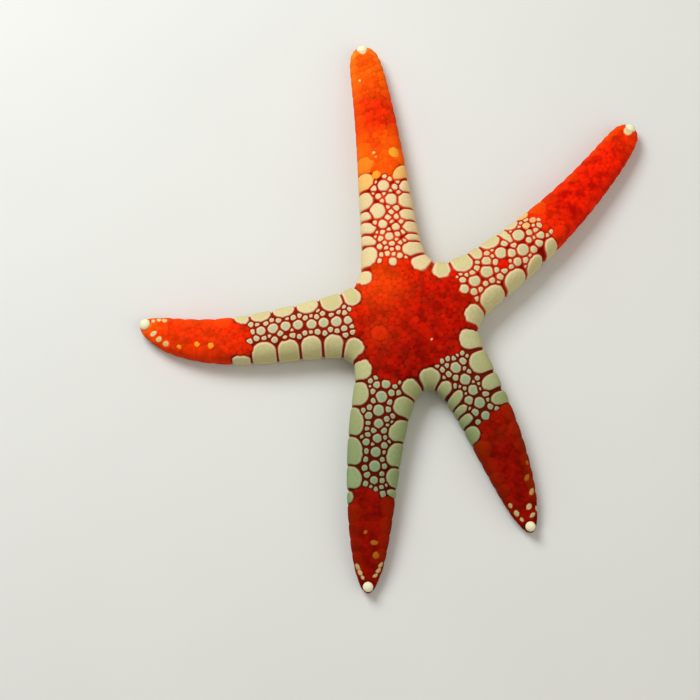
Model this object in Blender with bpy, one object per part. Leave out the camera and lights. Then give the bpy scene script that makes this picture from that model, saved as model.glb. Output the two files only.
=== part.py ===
"""A necklace sea star (Fromia monilis), life size, lying mouth down on a flat floor.

Five arms, lettered a to e anticlockwise seen from above, start from the one opposite the
sieve plate. Each arm is a loft of loaf-shaped sections along a gently bent course, with a bead
for every marginal plate and a groove for the tube feet below. The disc between the arms
fills the same outline, and thin cuts part it from the arms.

Sizes below are in millimetres and degrees; meshes are made in metres, +Z up, floor at z = 0.
"""
import math

import bmesh
import bpy
import numpy as np

MM = 0.001

# name: heading of the root, how far its line passes to the left of the disc's centre, reach along
# that heading, sideways bend and hook as shares of the reach, half width at the root, share of it
# lost by the tip, bluntness of the tip, and the share of the course where cream gives way to red
ARMS = {
    "a": dict(heading=28.9, shift=0.5, reach=55.5, bend=0.21, hook=0.035, half=6.15, taper=0.575, blunt=34, red=0.52),
    "b": dict(heading=100.2, shift=1.4, reach=56.0, bend=-0.164, hook=0.12, half=6.25, taper=0.555, blunt=34, red=0.505),
    "c": dict(heading=176.0, shift=-0.8, reach=48.8, bend=0.664, hook=-0.596, half=6.05, taper=0.5, blunt=12.5, red=0.585),
    "d": dict(heading=236.7, shift=0.4, reach=44.2, bend=0.705, hook=-0.272, half=6.05, taper=0.425, blunt=6, red=0.645),
    "e": dict(heading=310.8, shift=2.35, reach=41.7, bend=-0.351, hook=0.09, half=5.55, taper=0.26, blunt=3.8, red=0.51),
}

MODEL_SHIFT = (3.15, -3.83)    # carries the disc's centre to where the whole plan is centred

FILLET = 2.0                 # how softly neighbouring arms run together at the disc
CUT = 13.5                   # distance from the disc's centre to the cut that frees an arm
GAP = 0.3                    # between two pieces that meet
ROOT_HEIGHT = 8.1            # top of the body at the disc's centre
TIP_HEIGHT = 3.9             # top of an arm just before its end
DROOP = 1.6                  # how late an arm thins towards its tip
ARCH = 2.4                   # roundness of the back, 2 is an ellipse
RIM_LOW, RIM_HIGH = 0.34, 0.50   # the upright flank, as shares of the height
HEEL = 0.36                  # rounded lower corner, as a share of the half width
SOLE_REACH = 1.25            # how far the flat underside keeps to the floor as a tip closes

PLATE_LONG, PLATE_SHORT = 4.3, 2.5   # marginal plates in the cream half and in the red half
SEAM_DEPTH = 0.36            # seams between marginal plates
CREST_BEAD = 0.16            # rise of each plate of the middle row

GROOVE_HALF, GROOVE_DEEP = 1.25, 1.4     # tube-foot groove at the root, half as big at the tip
MOUTH_RADIUS, MOUTH_DEEP = 3.3, 2.2

SIEVE_ANGLE, SIEVE_REACH, SIEVE_RADIUS = 205.0, 6.4, 1.35
EYE_RADIUS = 1.05            # the pale plate that ends each arm

SKINS = {
    "disc_red": dict(color=(0.46, 0.030, 0.008), roughness=0.55),
    "tile_cream": dict(color=(0.72, 0.52, 0.25), roughness=0.50),
    "tip_red": dict(color=(0.66, 0.075, 0.012), roughness=0.50),
    "eye_ivory": dict(color=(0.88, 0.84, 0.58), roughness=0.45),
    "sieve_orange": dict(color=(0.62, 0.055, 0.012), roughness=0.60),
    "mouth_buff": dict(color=(0.55, 0.30, 0.16), roughness=0.60),
}


class Course:
    """The middle line of one arm, in plan, with its widths and heights."""

    def __init__(self, heading, shift, reach, bend, hook, half, taper, blunt, red):
        self.turn = math.radians(heading)
        self.shift, self.reach, self.bend, self.hook = shift, reach, bend, hook
        self.half, self.taper, self.blunt, self.red = half, taper, blunt, red
        self.steps = np.linspace(0.0, reach, 300)
        slope = np.hypot(1.0, self.slant(self.steps))
        self.lengths = np.concatenate([[0.0], np.cumsum((slope[1:] + slope[:-1]) / 2)]) * self.steps[1]
        self.length = self.lengths[-1]

    def aside(self, x):
        u = np.maximum(x, 0.0) / self.reach
        return self.shift + self.reach * (self.bend * u**2 + self.hook * u**3)

    def slant(self, x):
        u = np.maximum(x, 0.0) / self.reach
        return 2 * self.bend * u + 3 * self.hook * u**2

    def point(self, s, t):
        """Plan point at distance s along the course and t to its left."""
        x = np.interp(s, self.lengths, self.steps)
        run = np.hypot(1.0, self.slant(x))
        forward = x - t * self.slant(x) / run
        left = self.aside(x) + t / run
        c, n = math.cos(self.turn), math.sin(self.turn)
        return np.stack([forward * c - left * n, forward * n + left * c], axis=-1)

    def locate(self, plan):
        """Distance along the course and to its left of plan points; behind the root s < 0."""
        c, n = math.cos(self.turn), math.sin(self.turn)
        forward = plan[..., 0] * c + plan[..., 1] * n
        left = -plan[..., 0] * n + plan[..., 1] * c
        x = forward.copy()
        for _ in range(8):
            slant = self.slant(x)
            x = np.minimum(x + ((forward - x) + (left - self.aside(x)) * slant) / (1 + slant**2), self.reach)
        run = np.hypot(1.0, self.slant(x))
        s = np.where(x > 0, np.interp(x, self.steps, self.lengths), x)
        return s, (left - self.aside(x)) * run

    def closing(self, s):
        """1 along the arm, falling to 0 at its very end."""
        return np.sqrt(np.clip(1 - np.clip(s / self.length, 0, 1) ** self.blunt, 0, 1))

    def half_width(self, s):
        return self.half * (1 - self.taper * np.clip(s / self.length, 0, 1)) * self.closing(s)

    def levels(self, s):
        """Heights of the sole, of the flank's lower and upper edge, and of the crest."""
        u, close = np.clip(s / self.length, 0, 1), self.closing(s)
        tall = TIP_HEIGHT + (ROOT_HEIGHT - TIP_HEIGHT) * (1 - u**DROOP)
        low = RIM_LOW * tall
        high = low + (RIM_HIGH - RIM_LOW) * tall * close
        sole = low * (1 - np.minimum(1.0, SOLE_REACH * close))
        return sole, low, high, high + (1 - RIM_HIGH) * tall * close


COURSES = {name: Course(**sizes) for name, sizes in ARMS.items()}


def crown(x):
    """Height of the back from its rim (x = 0) to its crest (x = 1), both as shares."""
    return (1 - (1 - np.clip(x, 0, 1)) ** ARCH) ** (1 / ARCH)


def body(plan):
    """Distance inside the outline, distance from rim to crest, and the levels at plan points.

    Every arm is run on to the centre, and a soft maximum joins the five where they meet."""
    inside, facts = [], []
    for course in COURSES.values():
        s, t = course.locate(plan)
        half = course.half_width(s)
        inside.append(half - np.where(s < 0, np.hypot(s, t), np.abs(t)))
        facts.append((np.maximum(half, 0.01), *course.levels(s)))
    inside, facts = np.array(inside), np.array(facts)
    most = inside.max(axis=0)
    weight = np.exp((inside - most) / FILLET)
    total = weight.sum(axis=0)
    wide, *levels = (facts * weight[:, None]).sum(axis=0) / total
    return most + FILLET * np.log(total), wide, levels


def back(plan):
    inside, wide, (_, _, high, crest) = body(plan)
    return high + (crest - high) * crown(inside / wide)


def belly(plan):
    inside, wide, (sole, low, _, _) = body(plan)
    return low - (low - sole) * crown(inside / (HEEL * wide))


def new_object(name, mesh, skin, home):
    material = bpy.data.materials.new(name)
    material.use_nodes = True
    shader = material.node_tree.nodes["Principled BSDF"]
    shader.inputs["Base Color"].default_value = (*SKINS[skin]["color"], 1.0)
    shader.inputs["Roughness"].default_value = SKINS[skin]["roughness"]
    shader.inputs["Metallic"].default_value = 0.0
    mesh.materials.append(material)
    obj = bpy.data.objects.new(name, mesh)
    home.objects.link(obj)
    return obj


def loft(name, rings, skin, home, hoop=False):
    """Closed body through rings of equal length. A ring of one point closes it to a tip; a hoop
    joins its last ring to its first instead of capping them."""
    shape = bmesh.new()
    loops = [[shape.verts.new(((x + MODEL_SHIFT[0]) * MM, (y + MODEL_SHIFT[1]) * MM, z * MM))
              for x, y, z in ring] for ring in rings]
    following = loops[1:] + loops[:1] if hoop else loops[1:]
    for one, two in zip(loops, following):
        count = max(len(one), len(two))
        for k in range(count):
            n = (k + 1) % count
            if len(two) == 1:
                shape.faces.new((one[k], one[n], two[0]))
            elif len(one) == 1:
                shape.faces.new((one[0], two[n], two[k]))
            else:
                shape.faces.new((one[k], one[n], two[n], two[k]))
    for end in () if hoop else (loops[0], loops[-1]):
        if len(end) > 1:
            shape.faces.new(end)
    bmesh.ops.recalc_face_normals(shape, faces=shape.faces)
    mesh = bpy.data.meshes.new(name)
    shape.to_mesh(mesh)
    shape.free()
    return new_object(name, mesh, skin, home)


def edge(course, s, side):
    """Distance from the course to the outline on one side, +1 left or -1 right."""
    near, far = 0.0, 1.6 * course.half
    for _ in range(30):
        middle = (near + far) / 2
        inside = float(body(course.point(s, np.array([side * middle])))[0][0])
        near, far = (middle, far) if inside > 0 else (near, middle)
    return near


# Points of half a section on the back, from the crest to the flank: share of the half width,
# share of a seam's depth, and dip of the furrow between the marginal plates and the back
BACK_POINTS = ((0.0, 0.0, 0.0), (0.30, 0.0, 0.0), (0.53, 0.5, 0.15), (0.76, 1.0, 0.0),
               (0.93, 1.0, 0.0), (1.0, 1.0, 0.0))
BELLY_POINTS = (1.0, 1 - 0.3 * HEEL, 1 - HEEL)


def section(course, s, seam=0.0, bead=0.0):
    """One ring across an arm: crest, left flank, flat, groove, right flank and back to the crest."""
    close = float(course.closing(s))
    fade = (1 - 0.5 * s / course.length) * close
    halves = []
    for side in (1, -1):
        half = edge(course, s, side)
        offsets = np.array([share for share, _, _ in BACK_POINTS] + list(BELLY_POINTS)) * half
        plan = course.point(s, side * offsets)
        tops, bottoms = back(plan), belly(plan)
        points = []
        for (share, sink, dip), offset, z in zip(BACK_POINTS, offsets, tops):
            drop = seam * sink * (1 - share) + dip * close - (bead if share == 0.0 else 0.0)
            points.append((side * (offset - seam * sink * share), z - drop))
        for offset, z in zip(offsets[len(BACK_POINTS):], bottoms[len(BACK_POINTS):]):
            points.append((side * (offset - (seam if offset == half else 0.0)), z))
        sole = points[-1][1]
        points.append((side * min(GROOVE_HALF * fade, 0.8 * (1 - HEEL) * half), sole))
        halves.append(points)
    left, right = halves
    ring = left + [(0.0, sole + GROOVE_DEEP * fade)] + right[:0:-1]
    plan = course.point(s, np.array([t for t, _ in ring]))
    return [(x, y, z) for (x, y), (_, z) in zip(plan, ring)]


def arm_rings(course, start, end):
    """Sections from start to end, dense enough to bead every marginal plate between them."""
    rings = []
    s = start
    while s < end - 0.6:
        long_plate = s < course.red * course.length - 1.0
        pitch = PLATE_LONG if long_plate else PLATE_SHORT
        stops = (0.0, 0.22, 0.62) if long_plate else (0.0, 0.5)
        for share in stops:
            place = s + share * pitch
            if place < end - 0.4:
                seam = SEAM_DEPTH if share == 0.0 and s > start else 0.0
                rings.append(section(course, place, seam, 0.0 if share == 0.0 else CREST_BEAD))
        s += pitch
    return rings


def make_arm(name, course, home):
    change = course.red * course.length
    root, last = CUT + GAP / 2, change - GAP / 2
    base_rings = arm_rings(course, root, last) + [section(course, last)]
    loft(f"arm_{name}_base", base_rings, "tile_cream", home)
    first = change + GAP / 2
    blunt_from = course.length * 0.90
    rings = arm_rings(course, first, blunt_from)
    for share in (0.0, 0.45, 0.75, 0.93):
        rings.append(section(course, blunt_from + share * (course.length - blunt_from)))
    tip = course.point(course.length, 0.0)
    rings.append([(tip[0], tip[1], RIM_LOW * TIP_HEIGHT)])
    return loft(f"arm_{name}_tip", rings, "tip_red", home)


def outline_radius(angle):
    """Distance from the centre to the outline at one angle between two arms."""
    near, far = 4.0, 30.0
    for _ in range(40):
        middle = (near + far) / 2
        inside = body(np.array([[middle * math.cos(angle), middle * math.sin(angle)]]))[0][0]
        near, far = (middle, far) if inside > 0 else (near, middle)
    return near


AXIL_STEPS = 6    # even, so that one point marks the seam between the two innermost plates


def disc_border():
    """Plan points round the disc: straight across each arm's cut, then round each axil."""
    border = []
    across = np.sin(np.radians(np.linspace(-90, 90, 9)))
    courses = list(COURSES.values())
    for course, following in zip(courses, courses[1:] + courses[:1]):
        s = CUT - GAP / 2
        reach = np.where(across < 0, edge(course, s, -1), edge(course, s, 1))
        line = course.point(s, across * reach)
        border += [tuple(p) for p in line]
        start = math.atan2(line[-1][1], line[-1][0])
        other = following.point(s, -edge(following, s, -1))
        span = (math.atan2(other[1], other[0]) - start) % (2 * math.pi)
        for k in range(1, AXIL_STEPS):
            angle = start + span * k / AXIL_STEPS
            reach = outline_radius(angle) - (SEAM_DEPTH if 2 * k == AXIL_STEPS else 0.0)
            border.append((reach * math.cos(angle), reach * math.sin(angle)))
    return np.array(border)


def make_disc(home):
    border = disc_border()
    rings = [[(0.0, 0.0, float(back(np.zeros((1, 2)))[0]))]]
    for share in (0.2, 0.4, 0.58, 0.73, 0.85, 0.93, 0.975, 1.0):
        plan = border * share
        rings.append([(x, y, z) for (x, y), z in zip(plan, back(plan))])
    for share in (1.0, 0.985, 0.94, 0.86, 0.74, 0.5):
        plan = border * share
        rings.append([(x, y, z) for (x, y), z in zip(plan, belly(plan))])
    rings.append([(0.0, 0.0, 0.0)])
    return loft("disc", rings, "disc_red", home)


def turned(name, profile, centre, skin, home, segments=20):
    """A turned piece: its profile of radius and height, spun about a vertical line."""
    rings = []
    for radius, z in profile:
        if radius == 0:
            rings.append([(centre[0], centre[1], z)])
            continue
        angles = [2 * math.pi * k / segments for k in range(segments)]
        rings.append([(centre[0] + radius * math.cos(a), centre[1] + radius * math.sin(a), z) for a in angles])
    return loft(name, rings, skin, home)


def groove_cutter(course, tools):
    """Wedge along one arm's course that opens the tube-foot groove under the disc."""
    rings = []
    for s in (1.0, 6.0, 11.0, CUT + 1.0):
        fade = 1 - 0.5 * s / course.length
        half, deep = GROOVE_HALF * fade, GROOVE_DEEP * fade
        wedge = ((-2 * half, -deep), (2 * half, -deep), (0.0, deep))
        plan = course.point(s, np.array([t for t, _ in wedge]))
        rings.append([(x, y, z) for (x, y), (_, z) in zip(plan, wedge)])
    return loft("groove_tool", rings, "mouth_buff", tools)


def carve(obj, tool):
    cut = obj.modifiers.new("carve", "BOOLEAN")
    cut.operation = "DIFFERENCE"
    cut.solver = "EXACT"
    cut.object = tool
    tool.hide_render = True
    tool.display_type = "WIRE"


def make_mouth(disc, home, tools):
    """The mouth: a bowl under the disc, with a hoop of five jaws pointing inwards in it."""
    bowl = ((0.0, -1.0), (MOUTH_RADIUS, -1.0), (MOUTH_RADIUS, 0.6), (0.8 * MOUTH_RADIUS, 1.6),
            (0.4 * MOUTH_RADIUS, MOUTH_DEEP), (0.0, MOUTH_DEEP))
    carve(disc, turned("mouth_tool", bowl, (0.0, 0.0), "mouth_buff", tools, segments=30))
    outer = MOUTH_RADIUS - GAP
    start = math.radians(ARMS["a"]["heading"])
    angles = [start + math.pi * k / 10 for k in range(20)]
    rings = []
    # radius and height round the hoop's section, and how far a jaw reaches inwards there
    for radius, z, bite in ((outer, 0.55, 0.0), (outer, 0.25, 0.0), (1.9, 0.15, 0.9), (1.6, 0.55, 0.9),
                            (1.8, 0.9, 0.5), (0.8 * outer, 1.15, 0.0)):
        ring = []
        for angle in angles:
            reach = radius - bite * (1 - abs(math.cos(2.5 * (angle - start))))
            ring.append((reach * math.cos(angle), reach * math.sin(angle), z))
        rings.append(ring)
    loft("mouth_jaws", rings, "mouth_buff", home, hoop=True)


def make_sieve(disc, home, tools):
    """The sieve plate, a low button let into the back between two arms."""
    angle = math.radians(SIEVE_ANGLE)
    centre = (SIEVE_REACH * math.cos(angle), SIEVE_REACH * math.sin(angle))
    top = float(back(np.array([centre]))[0])
    socket = ((0.0, top - 0.8), (SIEVE_RADIUS + GAP, top - 0.8), (SIEVE_RADIUS + GAP, top + 2), (0.0, top + 2))
    carve(disc, turned("sieve_tool", socket, centre, "mouth_buff", tools))
    button = ((0.0, top - 0.5), (SIEVE_RADIUS, top - 0.5), (SIEVE_RADIUS, top), (0.85 * SIEVE_RADIUS, top + 0.22),
              (0.5 * SIEVE_RADIUS, top + 0.38), (0.0, top + 0.42))
    turned("sieve_plate", button, centre, "sieve_orange", home)


def make_eye_plate(name, course, arm, home, tools):
    """The pale knob that ends an arm, seated in a hollow of the same shape."""
    x, y = course.point(course.length - EYE_RADIUS, 0.0)
    z = 0.62 * TIP_HEIGHT
    for title, radius, skin, place in ((f"eye_plate_{name}", EYE_RADIUS, "eye_ivory", home),
                                       ("eye_tool", EYE_RADIUS + GAP, "mouth_buff", tools)):
        profile = [(radius * math.cos(a), z + 0.9 * radius * math.sin(a))
                   for a in np.radians(np.linspace(-90, 90, 7))]
        profile[0] = (0.0, profile[0][1])
        profile[-1] = (0.0, profile[-1][1])
        knob = turned(title, profile, (float(x), float(y)), skin, place, segments=12)
    carve(arm, knob)


def collection(name):
    made = bpy.data.collections.new(name)
    bpy.context.scene.collection.children.link(made)
    return made


def main():
    for old in list(bpy.data.objects):
        bpy.data.objects.remove(old, do_unlink=True)
    home, tools = collection("sea_star"), collection("tools")
    disc = make_disc(home)
    for course in COURSES.values():
        carve(disc, groove_cutter(course, tools))
    make_mouth(disc, home, tools)
    make_sieve(disc, home, tools)
    for name, course in COURSES.items():
        arm = make_arm(name, course, home)
        make_eye_plate(name, course, arm, home, tools)


main()
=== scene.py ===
"""Looks of a necklace sea star (Fromia monilis) resting mouth down on a pale floor.

The skin is one closed mesh, taken from the same outline and heights as the solids. Plates are
laid out on it: a row of large marginal plates down both sides of every arm, rounder ones on the
back and belly, and square ones beside the tube-foot grooves. Seams between plates are sunk into
the mesh, and every vertex carries its distance to the nearest seam and its plate's colour.

Lengths are in millimetres and angles in degrees until a mesh is made.
"""
import itertools
import math

import bmesh
import bpy
import numpy as np
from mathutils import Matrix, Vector


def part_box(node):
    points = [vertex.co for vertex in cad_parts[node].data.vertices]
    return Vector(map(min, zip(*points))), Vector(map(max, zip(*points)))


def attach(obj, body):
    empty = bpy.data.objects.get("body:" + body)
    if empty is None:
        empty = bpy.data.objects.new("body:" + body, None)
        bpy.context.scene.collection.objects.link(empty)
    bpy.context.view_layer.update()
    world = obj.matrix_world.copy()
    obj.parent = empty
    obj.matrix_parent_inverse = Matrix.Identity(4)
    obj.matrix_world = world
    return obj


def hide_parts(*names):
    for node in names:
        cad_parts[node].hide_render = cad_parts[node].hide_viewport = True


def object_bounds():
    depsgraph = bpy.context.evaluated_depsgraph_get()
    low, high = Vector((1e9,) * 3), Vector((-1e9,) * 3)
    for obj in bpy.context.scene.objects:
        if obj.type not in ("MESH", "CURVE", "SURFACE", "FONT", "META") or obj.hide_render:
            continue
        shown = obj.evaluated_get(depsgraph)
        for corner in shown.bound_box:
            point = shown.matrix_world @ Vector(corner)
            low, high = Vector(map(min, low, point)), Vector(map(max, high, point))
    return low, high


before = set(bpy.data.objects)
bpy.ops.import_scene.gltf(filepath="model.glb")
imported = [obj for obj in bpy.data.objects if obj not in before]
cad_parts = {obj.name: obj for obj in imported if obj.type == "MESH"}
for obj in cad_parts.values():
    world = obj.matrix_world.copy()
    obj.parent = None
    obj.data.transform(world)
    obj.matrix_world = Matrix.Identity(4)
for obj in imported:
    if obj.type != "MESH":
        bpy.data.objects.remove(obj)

CAD_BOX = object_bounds()
MM = 0.001
rng = np.random.default_rng(7)

# Each arm of the solids: heading of its root, how far its line passes to the left of the centre, reach,
# sideways bend and hook, half width at the root, taper, bluntness of the tip, and the share of the
# course where red skin takes over
ARMS = {
    "a": (28.9, 0.5, 55.5, 0.21, 0.035, 6.15, 0.575, 34, 0.52),
    "b": (100.2, 1.4, 56.0, -0.164, 0.12, 6.25, 0.555, 34, 0.505),
    "c": (176.0, -0.8, 48.8, 0.664, -0.596, 6.05, 0.5, 12.5, 0.585),
    "d": (236.7, 0.4, 44.2, 0.705, -0.272, 6.05, 0.425, 6, 0.645),
    "e": (310.8, 2.35, 41.7, -0.351, 0.09, 5.55, 0.26, 3.8, 0.51),
}
NAMES = list(ARMS)

# The large marginal plates down the left and the right side of each arm, counted along the outline from
# the axil: where each starts and ends, how deep it reaches in, and, where they aren't 0 and cream, how
# far its inner end leans outwards and its kind
LEFT_ROWS = {
    "a": ((0.2, 2.2, 3.6), (2.65, 5.95, 3.55), (6.4, 8.4, 2.7, -0.3), (8.8, 12.4, 2.2),
          (12.8, 14.2, 3.3), (14.5, 17.2, 1.3), (17.5, 19.8, 0.9, 0, "amber")),
    "b": ((0.0, 2.2, 2.3), (2.9, 6.4, 2.7, 0.2), (7.2, 9.0, 2.5, -0.9), (9.5, 11.5, 2.7, -0.9),
          (11.9, 13.5, 2.1, -0.4), (13.9, 17.1, 2.3), (17.7, 20.8, 2.6, 0, "amber"),
          (21.2, 24.0, 2.6, 0, "gold")),
    "c": ((-0.1, 1.9, 2.85), (2.3, 5.3, 2.85), (5.8, 9.3, 2.95), (9.8, 13.5, 2.8),
          (13.9, 18.2, 2.7), (18.6, 21.9, 0.7)),
    "d": ((1.1, 3.4, 3.1, 0.1), (3.75, 6.95, 3.2, 0.3), (7.4, 11.1, 2.85, 1.0), (11.5, 15.6, 2.5, 0.7),
          (16.0, 19.3, 2.0, 0.2), (19.8, 21.1, 1.5)),
    "e": ((0.8, 3.7, 4.1), (4.3, 8.1, 4.1, 0.3), (8.7, 11.3, 3.8, 0.6), (12.3, 14.6, 3.3, 0.2)),
}
RIGHT_ROWS = {
    "a": ((0.1, 2.75, 2.95), (3.25, 8.05, 2.6), (8.8, 13.2, 2.2), (13.7, 17.5, 1.6, 0.5),
          (18.8, 21.6, 2.0, 0.4)),
    "b": ((0.35, 2.0, 3.8, 0.1), (2.3, 4.4, 4.0), (4.6, 5.9, 2.8), (6.15, 8.3, 2.8),
          (8.6, 10.7, 3.0), (11.1, 14.0, 2.7, -0.2), (14.5, 16.7, 2.0, -0.6),
          (17.4, 19.8, 2.8, -1.3, "amber")),
    "c": ((0.9, 3.25, 3.8, 0.2), (3.65, 7.3, 3.5), (7.8, 11.6, 2.7), (12.1, 15.9, 2.3),
          (16.4, 20.0, 2.2), (20.5, 23.0, 2.1, -0.5)),
    "d": ((0.7, 3.7, 2.7, 0.2), (4.2, 8.3, 2.7, 0.3), (8.6, 13.4, 2.4, 1.0), (13.9, 18.7, 2.6, 0.9),
          (19.1, 22.9, 2.5, 0.8), (23.6, 25.6, 1.0)),
    "e": ((-0.6, 1.4, 2.4), (1.75, 3.8, 1.9, 0.1), (4.6, 6.4, 2.7, -0.5), (6.65, 8.1, 2.1),
          (8.4, 10.1, 2.1), (10.6, 13.4, 1.8)),
}
# Red plates follow, up to these places in the left and the right row if the arm goes on so far
ROWS_END = {"a": (99, 99), "b": (99, 99), "c": (33.4, 35.0), "d": (32.8, 36.2), "e": (32.3, 26.5)}
RED_PITCH, TIP_PITCH = 3.2, 1.3  # their spacing after the cream ones, and at the tip
RED_REACH, RED_GAP = 2.4, 0.12  # how deep they reach in, and half the gap between two
LOOKS = {  # how cream, how orange and how raised each kind is
    "cream": (1.0, 0.0, 0.36),
    "amber": (0.40, 1.9, 0.2),
    "gold": (0.0, 1.3, 0.2),
}

# The larger plates on each arm's back: distance along it, distance to its left, radius
BACK_PLATES = {
    "a": ((10.8, -0.6, 0.85), (13.25, -0.4, 1.0), (16.1, -0.25, 1.1), (11.6, 0.95, 0.55), (13.8, 1.05, 0.5),
          (17.3, 1.4, 0.85), (12.0, -2.0, 0.6), (18.8, -1.95, 0.8), (20.4, 1.05, 1.05), (21.9, -0.15, 0.8),
          (21.7, -2.1, 0.75), (23.9, -1.0, 1.1), (25.2, 1.7, 1.1), (26.0, -0.3, 0.5), (25.5, -2.2, 0.65),
          (27.1, -1.9, 0.7), (28.2, -1.0, 1.05), (28.3, 0.25, 0.45), (15.9, -2.1, 0.5), (14.6, -1.95, 0.45)),
    "b": ((11.1, 0.3, 0.75), (13.6, -1.0, 0.45), (14.3, 2.3, 0.5), (12.7, 2.2, 0.4), (16.0, 0.3, 0.75),
          (12.1, -1.1, 0.5), (16.3, -1.2, 0.5), (17.7, -1.1, 0.7), (18.5, 1.2, 0.8), (17.2, 2.5, 0.5),
          (19.75, -1.5, 0.5), (21.2, 1.9, 1.45), (23.2, -0.9, 1.1), (24.0, 1.4, 0.5), (26.0, 0.25, 1.05),
          (25.6, -1.85, 0.55), (27.25, -1.1, 0.4)),
    "c": ((11.5, 0.4, 0.7), (13.6, 0.3, 0.9), (15.85, 0.1, 0.85), (18.0, -0.05, 0.85), (20.4, -0.4, 0.85),
          (22.6, -0.55, 0.85), (24.9, -0.55, 0.9), (27.1, -0.4, 0.8), (12.4, 1.8, 0.5), (14.85, 1.6, 0.45),
          (17.2, 1.6, 0.5), (20.5, 1.8, 0.4), (23.0, 1.6, 0.5), (24.9, 1.6, 0.55), (28.0, 0.85, 0.5),
          (16.9, -1.2, 0.45), (18.9, -1.4, 0.45), (21.0, -1.9, 0.5), (23.7, -1.9, 0.45), (26.0, -1.7, 0.45)),
    "d": ((12.7, -0.05, 0.75), (15.1, -0.3, 1.0), (17.5, -0.3, 0.95), (19.8, 0.1, 0.8), (22.4, 0.2, 0.75),
          (24.8, 0.2, 0.85), (27.25, 0.25, 0.95), (29.7, 0.3, 0.65), (14.0, 1.3, 0.55), (12.7, 1.6, 0.4),
          (18.8, 1.4, 0.5), (23.5, 1.6, 0.55), (26.0, 1.5, 0.4), (28.5, 1.6, 0.4), (30.8, 1.7, 0.4),
          (13.2, -1.6, 0.6), (16.0, -1.5, 0.45), (18.7, -1.9, 0.65), (23.2, -1.7, 0.6), (26.2, -1.5, 0.45),
          (27.7, -1.5, 0.5), (30.4, -1.2, 0.5)),
    "e": ((11.95, -1.3, 0.95), (14.6, -0.9, 0.95), (16.9, -0.55, 0.9), (19.4, -0.6, 0.95), (21.9, -0.6, 0.75),
          (11.6, 0.4, 0.6), (15.4, 1.1, 0.4), (17.25, 0.6, 0.45), (18.2, -2.1, 0.75), (20.6, -2.1, 0.7),
          (13.5, -2.2, 0.5), (12.3, -2.95, 0.5), (22.4, -2.3, 0.45), (10.3, 1.05, 0.4), (9.8, -1.7, 0.45)),
}

# Small bright plates on the red tips: arm, distance along, distance to its left, radius, how much longer
# than wide, angle of the long way from the arm's line, and how golden (0 pale, 1 golden)
SPOTS = (
    ("c", 36.0, 1.6, 0.55, 1, 0, 1), ("c", 38.4, 1.5, 0.5, 1, 0, 1), ("c", 41.4, 2.3, 0.38, 1.2, 0, 1),
    ("c", 43.8, 2.25, 0.56, 1.4, 50, 0.7), ("c", 45.2, 1.8, 0.52, 1.7, 50, 0.3),
    ("c", 46.5, 1.15, 0.48, 2, 50, 0.05), ("c", 46.9, 2.4, 0.34, 1.3, 50, 0.2),
    ("c", 45.6, -1.95, 0.46, 2, -38, 0.3), ("c", 46.7, -1.75, 0.43, 1.9, -38, 0.1),
    ("c", 47.6, -1.15, 0.34, 1.8, -38, 0), ("d", 42.4, 1.2, 0.62, 1, 0, 1),
    ("d", 40.3, 0.8, 0.44, 1.6, 90, 1), ("d", 38.6, -0.8, 0.36, 1, 0, 1),
    ("d", 43.9, 2.15, 0.43, 1.8, -60, 0.3), ("d", 44.9, 1.75, 0.42, 1.6, -60, 0.1),
    ("d", 45.8, 1.2, 0.36, 1.5, -60, 0), ("d", 44.4, -2.0, 0.5, 1.4, 40, 0.3),
    ("d", 45.4, -1.5, 0.45, 1.4, 40, 0.1), ("d", 46.2, -1.0, 0.34, 1.3, 40, 0),
    ("e", 39.1, 0.8, 0.54, 1.2, -60, 0.1), ("e", 40.6, 1.0, 0.4, 1.7, -70, 0),
    ("e", 39.7, 2.1, 0.44, 1.3, 0, 0.1), ("e", 36.8, 2.2, 0.5, 1.6, -60, 0.8),
    ("e", 34.3, 2.2, 0.46, 1.6, -60, 1), ("e", 31.9, 3.2, 0.45, 1, 0, 1),
    ("e", 39.5, -1.65, 0.5, 1.3, 0, 0.1), ("e", 37.9, -2.25, 0.44, 1.2, 0, 0.6),
    ("e", 40.8, -1.1, 0.36, 1.4, 0, 0), ("a", 27.6, 2.1, 0.75, 1, 0, 0.6), ("a", 29.3, 2.1, 0.65, 1, 0, 0.7),
    ("b", 28.3, 1.3, 0.8, 1, 0, 1), ("b", 32.6, -2.5, 1.05, 1, 0, 1), ("a", 55.9, 0, 0.9, 1.6, 0, 0),
    ("b", 54.9, 0.1, 0.85, 2, 0, 0), ("b", 32.8, 1.25, 0.3, 1, 0, 0.2), ("b", 31.9, 0.95, 0.2, 1, 0, 0.2),
    ("b", 48.2, 1.8, 0.3, 1, 0, 0.2),
)
FRECKLE, FRECKLE_RADIUS, FRECKLE_GOLD = (3.4, -3.8), 0.26, 0.2  # the one pale plate on the disc
BARE, BARE_RADIUS = ("a", 19.4, -0.9), 0.75  # a red plate among the cream ones
START = {"a": 11.2, "b": 11.2, "c": 10.6, "d": 11.8, "e": 10.0}  # where cream plates on the back begin
FIELD = {"a": 0.52, "b": 0.48, "c": 0.44, "d": 0.46, "e": 0.44}  # radius of those that fill it up
FIELD_START, FIELD_RUN = 0.36, 6.0  # their radius at the start, and over what length it grows
# Radius of the round plates that fill up the disc, the tips and the belly, and how much it shrinks outwards
DISC_ROUND, TIP_ROUND, TIP_SHRINK, BELLY_ROUND, BELLY_SHRINK = 0.46, 0.50, 0.14, 0.55, 0.15
UNEVEN = 0.16  # how much the back's vary from place to place
CREAM_GAP, OTHER_GAP = 0.27, 0.17  # how far apart they stand in the cream part of the back, and elsewhere
# Plates of the belly and along the grooves: how cream, how orange, how dark their seams, how raised
BELLY_LOOK, GROOVE_LOOK = (0.88, 0.25, 0.6, 0.12), (0.9, 0.2, 0.6, 0.18)

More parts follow.
